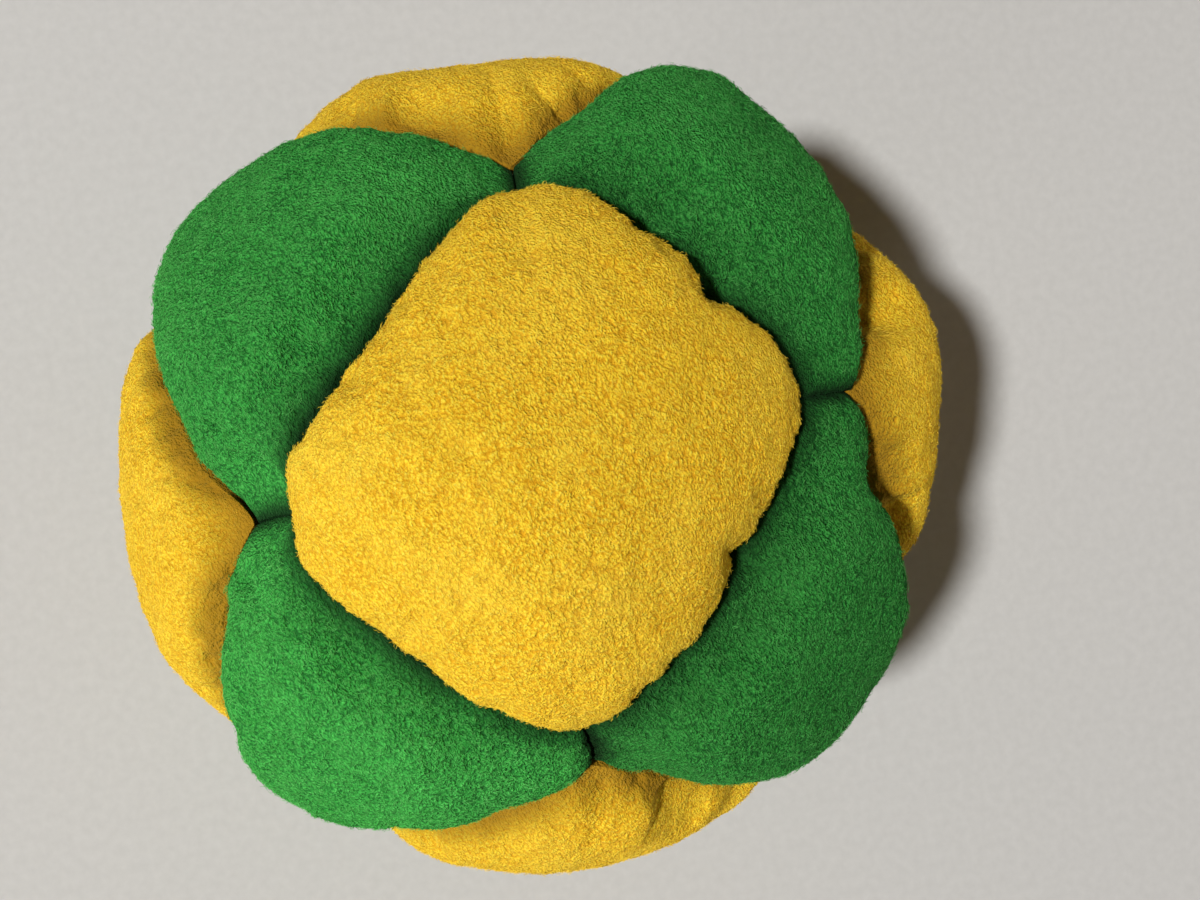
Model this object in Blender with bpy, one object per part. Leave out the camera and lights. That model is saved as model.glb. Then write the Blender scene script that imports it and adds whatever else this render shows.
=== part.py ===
"""A sewn footbag of fourteen suede panels, six squares and eight hexagons, filled with sand.

Each panel is a crowned cap of cloth whose edges turn in along the seams. Two turned-in edges lie
face to face in every seam. A thread in running stitch goes through both and is knotted at each end.
The sand presses into every cap. Sizes are in metres, and the bag rests on z = 0.
"""

import itertools
import math
from dataclasses import dataclass

import bmesh
import bpy
from mathutils import Matrix, Vector

# The bag
CROWN_RADIUS = 0.0275  # from the bag's middle to the crown of a panel
CREASE_DEPTH = 0.0042  # how far the seams sink below the crowns
SHORT_SEAM = 0.0044  # a seam between two hexagons, at the crease
SEAM_BOW = 0.0009  # how far the sides of a square panel bow out
REST_DEPTH = 0.0014  # how much of the lowest crown the ground presses flat
SETTLED_SHARE = 0.93  # height of the resting bag, as a share of its width
SKEW_SHARE = 0.064  # how much the cloth is drawn out along one diagonal

# The cloth
CLOTH = 0.0010  # thickness of the brushed suede
SEAM_ALLOWANCE = 0.0019  # from the stitch line to the raw edge of the cloth
SEAM_GAP = 0.0003  # between the two turned-in edges of a seam

# The sewing
THREAD = 0.0005  # diameter of the thread
THREAD_CLEARANCE = 0.00015  # between the thread and the cloth
STITCH_DEPTH = 0.0013  # from the crease down to the stitch line
STITCH_LENGTH = 0.0042  # the longest stitch
KNOT_HOLD = 0.0001  # how far a knot laps over the cloth on each side of its needle hole
KNOT_LENGTH = 0.0006
KNOT_CLEARANCE = 0.00015  # between the knots at a corner of a square

# The filling
FILL_CLEARANCE = 0.0003  # between the sand and what holds it

# Building
OVERRUN = 0.0003  # of a cutter past the cloth that it cuts
MERGE_DISTANCE = 0.000001  # closer points are one

# A cap's section runs from crown to crease as a superellipse with these two powers. Its rings lie
# at these shares of the quarter turn.
ACROSS_POWER = 3.0
UP_POWER = 2.0
CLOTH_RING_SHARES = (0.16, 0.38, 0.62, 0.84, 1.0)
SAND_RING_SHARES = (0.30, 0.68, 1.0)

# Counts
LONG_SEAM_STEPS = 4
SHORT_SEAM_STEPS = 1
THREAD_SIDES = 6

# The step along a seam from which its direction is read, as a share of the seam
SIGHT_SHARE = 0.05

# Two faces that meet at a sharper turn than this show a fold
FOLD_ANGLE = math.pi / 3

# Finishes: linear red, green and blue, and roughness
YELLOW_SUEDE = ((0.83, 0.51, 0.030), 0.95)
GREEN_SUEDE = ((0.030, 0.26, 0.045), 0.95)
SEWING_THREAD = ((0.030, 0.090, 0.035), 0.60)
SAND = ((0.52, 0.41, 0.27), 0.90)

# Sizes that follow from those above
CREASE_RADIUS = CROWN_RADIUS - CREASE_DEPTH
STITCH_RADIUS = CREASE_RADIUS - STITCH_DEPTH
EDGE_RADIUS = STITCH_RADIUS - SEAM_ALLOWANCE
GROUND_DEPTH = SETTLED_SHARE * CROWN_RADIUS - REST_DEPTH
CORNER_ANGLE = math.pi / 4 - SHORT_SEAM / (2 * CREASE_RADIUS)
NEEDLE_HOLE = THREAD + 2 * THREAD_CLEARANCE
KNOT = NEEDLE_HOLE + 2 * KNOT_HOLD
KNOT_REACH = CLOTH + THREAD_CLEARANCE + KNOT_LENGTH
LONG_SEAM_MARGIN = KNOT_REACH + KNOT / 2 + KNOT_CLEARANCE
SHORT_SEAM_MARGIN = (CLOTH + NEEDLE_HOLE) / 2 + SEAM_GAP / 2
SAND_INSET = CLOTH + FILL_CLEARANCE
GROOVE_HALF_WIDTH = SEAM_GAP + CLOTH + THREAD_CLEARANCE + max(THREAD, KNOT_LENGTH) + FILL_CLEARANCE

SIDE_NAMES = (("left", "right"), ("front", "back"), ("bottom", "top"))
LEVEL_NAMES = ("lower", "upper")


@dataclass
class Panel:
    """A piece of cloth: its name, the direction of its crown, and its corners in order round it."""

    name: str
    middle: Vector
    corners: list
    is_square: bool


@dataclass
class Seam:
    """Where two panels meet, from one corner to the next. A long seam bows away from its square."""

    start: Vector
    end: Vector
    bow: Vector
    first: Panel
    second: Panel
    margin: float


def clear_scene():
    for old in list(bpy.data.objects):
        bpy.data.objects.remove(old, do_unlink=True)


# The network of seams


def drawn_out(direction):
    """A direction on the skewed bag, whose cloth is drawn out along one diagonal and in across it."""
    out_part = (direction.x + direction.y) / 2 * (1 + SKEW_SHARE)
    in_part = (direction.x - direction.y) / 2 * (1 - SKEW_SHARE)
    return Vector((out_part + in_part, out_part - in_part, direction.z)).normalized()


def settled(point):
    """Where a point of the round bag lies in the resting bag, which is lower and stands on z = 0."""
    return Vector((point.x, point.y, point.z * SETTLED_SHARE + GROUND_DEPTH))


def even_corners():
    """The 24 corners before the skew: each leans from one axis a little way towards another."""
    corners = []
    for near_axis, far_axis in itertools.permutations(range(3), 2):
        for near_sign, far_sign in itertools.product((-1, 1), repeat=2):
            corner = Vector((0, 0, 0))
            corner[near_axis] = near_sign * math.cos(CORNER_ANGLE)
            corner[far_axis] = far_sign * math.sin(CORNER_ANGLE)
            corners.append(corner)
    return corners


def make_panel(name, middle, corners, is_square):
    """A panel of the skewed bag, its corners in order, anticlockwise as seen from outside."""
    across = middle.orthogonal().normalized()
    up = middle.normalized().cross(across)
    ordered = sorted(corners, key=lambda corner: math.atan2(corner.dot(up), corner.dot(across)))
    return Panel(name, drawn_out(middle), [drawn_out(corner) for corner in ordered], is_square)


def make_panels():
    corners = even_corners()
    panels = []
    for axis, sign in itertools.product(range(3), (-1, 1)):
        middle = Vector((0, 0, 0))
        middle[axis] = sign
        own = [corner for corner in corners if corner.dot(middle) > math.sin(math.pi / 4)]
        panels.append(make_panel("square_panel_" + SIDE_NAMES[axis][sign > 0], middle, own, True))
    for signs in itertools.product((-1, 1), repeat=3):
        own = [corner for corner in corners if all(c * s >= 0 for c, s in zip(corner, signs))]
        side, depth = (SIDE_NAMES[axis][signs[axis] > 0] for axis in range(2))
        name = f"hexagon_panel_{LEVEL_NAMES[signs[2] > 0]}_{depth}_{side}"
        panels.append(make_panel(name, Vector(signs), own, False))
    return panels


def panel_sides(panel):
    """The pairs of neighbouring corners of a panel."""
    return list(zip(panel.corners, panel.corners[1:] + panel.corners[:1]))


def seam_key(start, end):
    """The same key for a seam, whichever of its panels it is met on."""
    return frozenset(tuple(round(value, 5) for value in corner) for corner in (start, end))


def make_seams(panels):
    """Every seam by its key. In a long seam the first panel is the square."""
    met = {}
    for panel in panels:
        for start, end in panel_sides(panel):
            met.setdefault(seam_key(start, end), []).append((panel, start, end))
    seams = {}
    for key, ((first, start, end), (second, _, _)) in met.items():
        if first.is_square:
            seams[key] = Seam(start, end, end.cross(start).normalized(), first, second, LONG_SEAM_MARGIN)
        else:
            seams[key] = Seam(start, end, Vector((0, 0, 0)), first, second, SHORT_SEAM_MARGIN)
    return seams


def seam_direction(seam, share):
    """The direction of the point that lies this share of the way along a seam."""
    bulge = 4 * share * (1 - share) * SEAM_BOW
    return (seam.start.slerp(seam.end, share) * CREASE_RADIUS + seam.bow * bulge).normalized()


def outline(panel, seams):
    """Directions of the points round a panel, along the curves of its seams."""
    directions = []
    for start, end in panel_sides(panel):
        seam = seams[seam_key(start, end)]
        forward = (seam.start - start).length < (seam.end - start).length
        steps = LONG_SEAM_STEPS if seam.first.is_square else SHORT_SEAM_STEPS
        for step in range(steps):
            share = step / steps
            directions.append(seam_direction(seam, share if forward else 1 - share))
    return directions


def narrowest_angle(panel, directions):
    """The angle between a panel's crown and the nearest point of its seams."""
    return min(panel.middle.angle(direction) for direction in directions)


def stand_off(panel, directions):
    """How far a panel moves out along its crown, to lie half the seam gap off its seams."""
    return SEAM_GAP / 2 / math.sin(narrowest_angle(panel, directions))


# Meshes


def new_object(name, mesh, finish=None):
    """Makes an object of a bmesh, shaded smooth except at its folds."""
    data = bpy.data.meshes.new(name)
    mesh.to_mesh(data)
    mesh.free()
    data.shade_smooth()
    data.set_sharp_from_angle(angle=FOLD_ANGLE)
    if finish is not None:
        data.materials.append(finish)
    made = bpy.data.objects.new(name, data)
    bpy.context.scene.collection.objects.link(made)
    return made


def make_finish(name, values):
    colour, roughness = values
    material = bpy.data.materials.new(name)
    material.use_nodes = True
    shader = material.node_tree.nodes["Principled BSDF"]
    shader.inputs["Base Color"].default_value = (*colour, 1)
    shader.inputs["Roughness"].default_value = roughness
    shader.inputs["Metallic"].default_value = 0
    return material


def section_rings(ring_shares, crown_radius, side_radius):
    """(share of the way to the seam, radius) for each ring of a cap, from its crown outward."""
    rings = []
    for ring_share in ring_shares:
        turn = ring_share * math.pi / 2
        across = math.sin(turn) ** (2 / ACROSS_POWER)
        up = max(math.cos(turn), 0) ** (2 / UP_POWER)
        rings.append((across, side_radius + (crown_radius - side_radius) * up))
    return rings


def add_ring(mesh, middle, directions, reach, radius, offset, ground):
    """Adds the points at one share of the way from crown to seam. None lies below the ground."""
    ring = []
    for direction in directions:
        point = settled(middle.slerp(direction, reach) * radius + middle * offset)
        ring.append(mesh.verts.new((point.x, point.y, max(point.z, ground))))
    return ring


def join_rings(mesh, inner, outer):
    for here in range(len(inner)):
        after = (here + 1) % len(inner)
        mesh.faces.new((inner[here], outer[here], outer[after], inner[after]))


def add_cap(mesh, middle, directions, rings, offset, ground):
    """Adds a crowned cap over a crown point, ring by ring, and returns its last ring."""
    crown_radius = rings[0][1]
    crown = settled(middle * (crown_radius + offset))
    last = add_ring(mesh, middle, directions, *rings[0], offset, ground)
    top = mesh.verts.new((crown.x, crown.y, max(crown.z, ground)))
    for here in range(len(last)):
        mesh.faces.new((top, last[here], last[(here + 1) % len(last)]))
    for reach, radius in rings[1:]:
        ring = add_ring(mesh, middle, directions, reach, radius, offset, ground)
        join_rings(mesh, last, ring)
        last = ring
    return last


# The cloth


def make_panel_cloth(panel, seams, finish):
    """The outer face of a panel with its turned-in edge, thickened inwards."""
    directions = outline(panel, seams)
    offset = stand_off(panel, directions)
    rings = section_rings(CLOTH_RING_SHARES, CROWN_RADIUS, CREASE_RADIUS)
    mesh = bmesh.new()
    crease = add_cap(mesh, panel.middle, directions, rings, offset, 0)
    edge = add_ring(mesh, panel.middle, directions, 1, EDGE_RADIUS, offset, 0)
    join_rings(mesh, crease, edge)
    cloth = new_object(panel.name, mesh, finish)
    thicken = cloth.modifiers.new("cloth", "SOLIDIFY")
    thicken.thickness = CLOTH
    thicken.offset = -1
    thicken.use_even_offset = True
    return cloth


# The sewing


def stitch_frame(seam, share):
    """The point on the stitch line, and the directions along the seam and into its second panel."""
    point = settled(seam_direction(seam, share) * STITCH_RADIUS)
    ahead = settled(seam_direction(seam, share + SIGHT_SHARE) * STITCH_RADIUS)
    above = settled(seam_direction(seam, share) * CREASE_RADIUS)
    across = (ahead - point).cross(above - point).normalized()
    if across.dot(seam.second.middle - seam.first.middle) < 0:
        across = -across
    along = (ahead - point).normalized()
    return point, along, across


def needle_shares(seam):
    """Where the needle holes lie, as shares of the seam's length, evenly between its two margins."""
    length = seam.start.angle(seam.end) * STITCH_RADIUS
    stitches = math.ceil((length - 2 * seam.margin) / STITCH_LENGTH)
    first = seam.margin / length
    return [first + (1 - 2 * first) * hole / stitches for hole in range(stitches + 1)]


def cloth_reach(seam, panel, share, seams):
    """How far from the stitch line the inner face of a panel's turned-in edge lies."""
    point, _, across = stitch_frame(seam, share)
    offset = stand_off(panel, outline(panel, seams))
    face = settled(seam_direction(seam, share) * STITCH_RADIUS + panel.middle * offset)
    return abs((face - point).dot(across)) + CLOTH


def make_needle_holes(seam, seams):
    """The cutter for the square holes that the needle leaves in both edges of a seam."""
    half_width = NEEDLE_HOLE / 2
    mesh = bmesh.new()
    for share in needle_shares(seam):
        point, along, across = stitch_frame(seam, share)
        up = across.cross(along)
        back = cloth_reach(seam, seam.first, share, seams) + OVERRUN
        front = cloth_reach(seam, seam.second, share, seams) + OVERRUN
        axes = Matrix((along * half_width, up * half_width, across * (back + front) / 2)).transposed()
        centre = point + across * (front - back) / 2
        place = Matrix.Translation(centre) @ axes.to_4x4()
        bmesh.ops.create_cube(mesh, size=2, matrix=place)
    bmesh.ops.recalc_face_normals(mesh, faces=mesh.faces)
    cutter = new_object("needle_holes", mesh)
    cutter.hide_render = True
    cutter.display_type = "WIRE"
    return cutter


def cut_needle_holes(cloth, cutter):
    cut = cloth.modifiers.new("needle_holes", "BOOLEAN")
    cut.operation = "DIFFERENCE"
    cut.object = cutter


def thread_path(seam, seams):
    """(point, radius) along a thread: a knot, stitches on alternate sides of the seam, and a knot."""
    shares = needle_shares(seam)
    path = []
    for hole, share in enumerate(shares):
        point, _, across = stitch_frame(seam, share)
        back = cloth_reach(seam, seam.first, share, seams) + THREAD_CLEARANCE
        front = cloth_reach(seam, seam.second, share, seams) + THREAD_CLEARANCE
        reaches = [-back, front] if hole % 2 == 0 else [front, -back]
        for end, reach in enumerate(reaches):
            outward = across if reach > 0 else -across
            face = point + across * reach
            starts = hole == 0 and end == 0
            finishes = hole == len(shares) - 1 and end == 1
            if starts or finishes:
                knot = [(face, THREAD / 2), (face, KNOT / 2), (face + outward * KNOT_LENGTH, KNOT / 2)]
                path += reversed(knot) if starts else knot
            else:
                path.append((face + outward * THREAD / 2, THREAD / 2))
    return path


def make_thread(seam, seams, finish):
    """Sweeps a round section along a seam's thread, with mitred turns."""
    path = thread_path(seam, seams)
    mesh = bmesh.new()
    heading = (path[-1][0] - path[0][0]).normalized()
    rings = []
    for place, (point, radius) in enumerate(path):
        before = [other for other, _ in path[:place] if (other - point).length > MERGE_DISTANCE]
        after = [other for other, _ in path[place:] if (other - point).length > MERGE_DISTANCE]
        comes = (point - before[-1]).normalized() if before else (after[0] - point).normalized()
        goes = (after[0] - point).normalized() if after else comes
        if not rings:
            side = comes.cross(heading).normalized()
        mitre = (comes + goes).normalized()
        lift = comes.cross(side)
        ring = []
        for corner in range(THREAD_SIDES):
            turn = 2 * math.pi * corner / THREAD_SIDES
            spoke = (side * math.cos(turn) + lift * math.sin(turn)) * radius
            ring.append(mesh.verts.new(point + spoke - comes * (spoke.dot(mitre) / comes.dot(mitre))))
        if rings:
            join_rings(mesh, rings[-1], ring)
        rings.append(ring)
        side = comes.rotation_difference(goes) @ side
    mesh.faces.new(rings[0])
    mesh.faces.new(reversed(rings[-1]))
    bmesh.ops.recalc_face_normals(mesh, faces=mesh.faces)
    first, second = (panel.name.split("_panel_")[1] for panel in (seam.first, seam.second))
    return new_object(f"thread_{first}_to_{second}", mesh, finish)


# The filling


def make_sand(panels, seams, finish):
    """The sand as one solid: a lobe in every cap, and a groove round the cloth and thread of a seam."""
    mesh = bmesh.new()
    floor_radius = EDGE_RADIUS - FILL_CLEARANCE
    rings = section_rings(SAND_RING_SHARES, CROWN_RADIUS - SAND_INSET, CREASE_RADIUS - SAND_INSET)
    for panel in panels:
        directions = outline(panel, seams)
        offset = stand_off(panel, directions)
        lobe = 1 - GROOVE_HALF_WIDTH / EDGE_RADIUS / narrowest_angle(panel, directions)
        lobe_rings = [(reach * lobe, radius) for reach, radius in rings]
        shoulder = add_cap(mesh, panel.middle, directions, lobe_rings, offset, SAND_INSET)
        foot = add_ring(mesh, panel.middle, directions, lobe, floor_radius, offset, SAND_INSET)
        groove = add_ring(mesh, panel.middle, directions, 1, floor_radius, 0, SAND_INSET)
        join_rings(mesh, shoulder, foot)
        join_rings(mesh, foot, groove)
    bmesh.ops.remove_doubles(mesh, verts=mesh.verts, dist=MERGE_DISTANCE)
    return new_object("sand_fill", mesh, finish)


def main():
    clear_scene()
    yellow = make_finish("yellow_suede", YELLOW_SUEDE)
    green = make_finish("green_suede", GREEN_SUEDE)
    thread_finish = make_finish("sewing_thread", SEWING_THREAD)
    panels = make_panels()
    seams = make_seams(panels)
    cloths = {p.name: make_panel_cloth(p, seams, yellow if p.is_square else green) for p in panels}
    for seam in seams.values():
        cutter = make_needle_holes(seam, seams)
        cut_needle_holes(cloths[seam.first.name], cutter)
        cut_needle_holes(cloths[seam.second.name], cutter)
        make_thread(seam, seams, thread_finish)
    make_sand(panels, seams, make_finish("sand", SAND))


main()
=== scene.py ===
# %% [markdown]
# # A sewn footbag in Blender
#
# A footbag is a small soft ball for kicking. This one is sewn from fourteen pieces of brushed
# suede cloth, six yellow squares and eight green hexagons, and filled with sand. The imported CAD
# model gives the frame, and this notebook dresses it. All is in metres, and the bag stands on
# z = 0. The shape could be sculpted by hand. Here it is worked out from a handful of sizes and one
# network of seams, so that it can be changed later.

# %% Load the frame
import itertools
import math

import bpy
import numpy as np
from mathutils import Matrix, Vector


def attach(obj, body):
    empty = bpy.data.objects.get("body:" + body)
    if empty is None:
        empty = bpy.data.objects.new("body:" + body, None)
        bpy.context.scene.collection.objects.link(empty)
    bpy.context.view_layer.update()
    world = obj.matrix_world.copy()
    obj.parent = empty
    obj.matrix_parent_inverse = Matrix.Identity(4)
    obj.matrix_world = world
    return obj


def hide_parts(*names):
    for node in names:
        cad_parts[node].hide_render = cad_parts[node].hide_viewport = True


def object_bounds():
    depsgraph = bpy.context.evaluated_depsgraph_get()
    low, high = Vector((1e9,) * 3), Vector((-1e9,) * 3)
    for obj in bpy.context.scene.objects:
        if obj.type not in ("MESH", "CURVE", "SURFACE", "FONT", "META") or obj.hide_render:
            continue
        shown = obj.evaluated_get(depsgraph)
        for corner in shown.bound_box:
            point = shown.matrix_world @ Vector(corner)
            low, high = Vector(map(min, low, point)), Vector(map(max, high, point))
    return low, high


MM = 0.001
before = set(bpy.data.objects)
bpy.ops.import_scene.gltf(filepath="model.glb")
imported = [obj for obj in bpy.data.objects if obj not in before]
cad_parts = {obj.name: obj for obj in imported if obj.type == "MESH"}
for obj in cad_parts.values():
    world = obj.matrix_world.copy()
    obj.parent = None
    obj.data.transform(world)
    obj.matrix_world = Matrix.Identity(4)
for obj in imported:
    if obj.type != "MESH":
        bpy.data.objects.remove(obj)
cad_low, cad_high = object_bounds()
cad_size = [round(side / MM, 2) for side in cad_high - cad_low]
print("the frame has", len(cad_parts), "nodes, and measures", cad_size, "mm")

# %% [markdown]
# ## The camera
#
# The camera comes first, because it decides how much detail shows. It looks almost straight down
# from a hand's width away, as one holds a phone over a small thing, so the top of the bag looks
# larger than its sides. It stands a little to the left and turns the bag by ten degrees.

# %% Camera
BAG_MIDDLE = Vector((0, 0, 24.2 * MM))
VIEW_TURN = math.radians(10)
VIEW_DISTANCE = 110 * MM
VIEW_LEAN_LEFT = math.radians(1.8)
VIEW_LEAN_DOWN = math.radians(0.96)
FOCAL_PIXELS = 1580
FRAME_WIDTH = 1200
AIM_RIGHT_PIXELS = 70
AIM_UP_PIXELS = 16
SENSOR_WIDTH = 36

picture_right = Vector((math.cos(VIEW_TURN), -math.sin(VIEW_TURN), 0))
picture_up = Vector((math.sin(VIEW_TURN), math.cos(VIEW_TURN), 0))


def picture_way(turn):
    """A level direction, by its angle round the picture in degrees."""
    return np.array(picture_right * math.cos(math.radians(turn)) + picture_up * math.sin(math.radians(turn)))


def new_object(name, data):
    """An object in the scene, with this data."""
    thing = bpy.data.objects.new(name, data)
    bpy.context.scene.collection.objects.link(thing)
    return thing


lean = Vector((0, 0, 1)) - picture_right * math.tan(VIEW_LEAN_LEFT)
lean -= picture_up * math.tan(VIEW_LEAN_DOWN)
place = BAG_MIDDLE + lean.normalized() * VIEW_DISTANCE
shift = picture_right * AIM_RIGHT_PIXELS + picture_up * AIM_UP_PIXELS
target = BAG_MIDDLE + shift * VIEW_DISTANCE / FOCAL_PIXELS
back = (place - target).normalized()
side = (picture_right - back * picture_right.dot(back)).normalized()
data = bpy.data.cameras.new("camera")
data.sensor_width = SENSOR_WIDTH
data.lens = FOCAL_PIXELS * SENSOR_WIDTH / FRAME_WIDTH
data.clip_start = 1 * MM
camera = new_object("camera", data)
turned = Matrix((side, back.cross(side), back)).transposed()
camera.matrix_world = Matrix.Translation(place) @ turned.to_4x4()
bpy.context.scene.camera = camera
print("the lens is", round(data.lens, 1), "mm, at", [round(x / MM, 1) for x in place], "mm")

# %% [markdown]
# ## The network of seams
#
# Six squares and eight hexagons close into a ball with 24 corners, each where a square meets two
# hexagons. Every corner leans from one axis a little way towards another, so all the places of
# the numbers 0, small and large give the whole net. Wear has drawn the cloth out along one
# diagonal, so the directions are stretched there and squeezed across it. These are the same sizes
# and steps as in the CAD source, so the cloth falls where the frame has it.

# %% The bag's sizes
CROWN_RADIUS = 27.5 * MM
CREASE_DEPTH = 4.2 * MM
SHORT_SEAM = 4.4 * MM
SEAM_BOW = 0.9 * MM
REST_DEPTH = 1.4 * MM
SETTLED_SHARE = 0.93
SKEW_SHARE = 0.064
CLOTH = 1.0 * MM
SEAM_GAP = 0.3 * MM
STITCH_DEPTH = 1.3 * MM
SEAM_ALLOWANCE = 1.9 * MM
CREASE_RADIUS = CROWN_RADIUS - CREASE_DEPTH
EDGE_RADIUS = CREASE_RADIUS - STITCH_DEPTH - SEAM_ALLOWANCE
GROUND_DEPTH = SETTLED_SHARE * CROWN_RADIUS - REST_DEPTH
CORNER_ANGLE = math.pi / 4 - SHORT_SEAM / (2 * CREASE_RADIUS)
SIDE_NAMES = (("left", "right"), ("front", "back"), ("bottom", "top"))


# %% Corners, panels and seams
def drawn_out(direction):
    """A direction, stretched along one diagonal and squeezed across it."""
    out_part = (direction.x + direction.y) / 2 * (1 + SKEW_SHARE)
    in_part = (direction.x - direction.y) / 2 * (1 - SKEW_SHARE)
    return Vector((out_part + in_part, out_part - in_part, direction.z)).normalized()


def even_corners():
    for near_axis, far_axis in itertools.permutations(range(3), 2):
        for near_sign, far_sign in itertools.product((-1, 1), repeat=2):
            corner = Vector((0, 0, 0))
            corner[near_axis] = near_sign * math.cos(CORNER_ANGLE)
            corner[far_axis] = far_sign * math.sin(CORNER_ANGLE)
            yield corner


def ordered_corners(middle, corners):
    """A panel's corners, drawn out, anticlockwise as seen from outside."""
    across = middle.orthogonal().normalized()
    up = middle.normalized().cross(across)
    ordered = sorted(corners, key=lambda corner: math.atan2(corner.dot(up), corner.dot(across)))
    return [drawn_out(corner) for corner in ordered]


def make_panels():
    """Each panel's name, with the direction of its crown and its corners."""
    corners = list(even_corners())
    panels = {}
    for axis, sign in itertools.product(range(3), (-1, 1)):
        middle = Vector((0, 0, 0))
        middle[axis] = sign
        own = [corner for corner in corners if corner.dot(middle) > math.sin(math.pi / 4)]
        name = "square_panel_" + SIDE_NAMES[axis][sign > 0]
        panels[name] = (drawn_out(middle), ordered_corners(middle, own))
    for signs in itertools.product((-1, 1), repeat=3):
        own = [corner for corner in corners if all(c * s >= 0 for c, s in zip(corner, signs))]
        side, depth = (SIDE_NAMES[axis][signs[axis] > 0] for axis in range(2))
        name = f"hexagon_panel_{('lower', 'upper')[signs[2] > 0]}_{depth}_{side}"
        panels[name] = (drawn_out(Vector(signs)), ordered_corners(Vector(signs), own))
    return panels


panels = make_panels()
print(len(panels), "panels, with", sum(len(corners) for _, corners in panels.values()) // 2, "seams")
assert set(panels) < set(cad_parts)

# %% [markdown]
# ## The outline of a panel
#
# A seam between a square and a hexagon bows outwards a little from the square, because the full
# squares push it. A seam between two hexagons is short and straight. The outline is sampled
# evenly, so that rings of points can be cut from it at any spacing.

# %% Outlines
OUTLINE_POINTS = 720
SEAM_SAMPLES = 60


def is_square(name):
    return name.startswith("square")


def unit(vectors):
    return vectors / np.linalg.norm(vectors, axis=-1, keepdims=True)


def seam_points(name, middle, start, end):
    """Directions along one seam of a panel, from start up to end."""
    shares = np.arange(SEAM_SAMPLES) / SEAM_SAMPLES
    angle = start.angle(end)
    first, second = np.array(start), np.array(end)
    points = np.outer(np.sin((1 - shares) * angle), first) + np.outer(np.sin(shares * angle), second)
    points /= math.sin(angle)
    bow = start.cross(end).normalized()
    bow *= -math.copysign(1, bow.dot(middle))
    is_short = angle * CREASE_RADIUS < 2 * SHORT_SEAM
    side = 0 if is_short else (1 if is_square(name) else -1)
    return unit(points * CREASE_RADIUS + np.outer(4 * shares * (1 - shares) * SEAM_BOW * side, np.array(bow)))


def outline(name):
    """Directions evenly round a panel's seams."""
    middle, corners = panels[name]
    sides = list(zip(corners, corners[1:] + corners[:1]))
    points = np.vstack([seam_points(name, middle, start, end) for start, end in sides])
    closed = np.vstack([points, points[:1]])
    way = np.concatenate([[0], np.cumsum(np.linalg.norm(np.diff(closed, axis=0), axis=1))])
    even = np.arange(OUTLINE_POINTS) / OUTLINE_POINTS * way[-1]
    table = np.stack([np.interp(even, way, closed[:, axis]) for axis in range(3)], axis=1)
    return unit(table)


outlines = {name: outline(name) for name in panels}
print("the top square's seams are sampled at", len(outlines["square_panel_top"]), "places")

# %% [markdown]
# ## The cloth's section
#
# Cut across, a filled panel is a flat-topped dome: it runs level over the sand, turns over a full
# shoulder, and drops into the seam and on inwards to the raw edge. A superellipse gives that
# curve. It is stepped evenly by length, and each step becomes one ring of points round the panel.

# %% Section
ACROSS_POWERS = {True: 3.0, False: 2.4}  # squares, hexagons
UP_POWERS = {True: 2.0, False: 1.5}
SECTION_SAMPLES = 2000


def mean_angle(name):
    return np.arccos(outlines[name] @ np.array(panels[name][0])).mean()


def section_line(name):
    """The section's share across, radius and way along it, from the crown to the raw edge."""
    rim_angle = mean_angle(name)
    turn = np.linspace(0, math.pi / 2, SECTION_SAMPLES)
    across = np.sin(turn) ** (2 / ACROSS_POWERS[is_square(name)])
    up = np.cos(turn).clip(0, 1) ** (2 / UP_POWERS[is_square(name)])
    wall = np.linspace(CREASE_RADIUS, EDGE_RADIUS, SECTION_SAMPLES // 8)[1:]
    across = np.concatenate([across, np.ones(len(wall))])
    radius = np.concatenate([CREASE_RADIUS + CREASE_DEPTH * up, wall])
    way = np.concatenate([[0], np.cumsum(np.hypot(np.diff(across * rim_angle * radius), np.diff(radius)))])
    return across, radius, way


def crease_way(name):
    return section_line(name)[2][SECTION_SAMPLES - 1]


# %% [markdown]
# ## From outline to surface
#
# Full cloth can't turn a sharp corner. So each ring is the outline with its corners blurred, the
# more the nearer it is to the crown. Rings with different numbers of points are joined like a
# zip, tooth by tooth, which keeps the triangles even.

# %% Rings
CORNER_ROUNDING = 3.0 * MM
ROUNDING_POWER = 8
# a row's place on the section, the outward direction there, and its depth below the outer face
ROW_KEYS = ("across", "radius", "out_across", "out_radius", "inset")


def rounded(table, width):
    """An outline with corners blurred over this width. In a blur the short waves fade first."""
    waves = np.fft.rfft(table, axis=0)
    turns = np.arange(len(waves)) / (np.linalg.norm(np.diff(table, axis=0), axis=1).sum() * CREASE_RADIUS)
    faded = waves * np.exp(-2 * (math.pi * turns * width) ** 2)[:, None]
    return unit(np.fft.irfft(faded, n=len(table), axis=0))


def sampled(table, shares):
    """Values of a table that runs round a ring, at these shares of the way round."""
    place = shares % 1 * len(table)
    low = place.astype(int) % len(table)
    part = (place - np.floor(place))[:, None]
    return table[low] * (1 - part) + table[(low + 1) % len(table)] * part


def settled(points):
    """Where points of the round bag lie in the resting bag, which is lower."""
    moved = points * np.array((1, 1, SETTLED_SHARE)) + np.array((0, 0, GROUND_DEPTH))
    moved[:, 2] = moved[:, 2].clip(0)
    return moved


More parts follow.
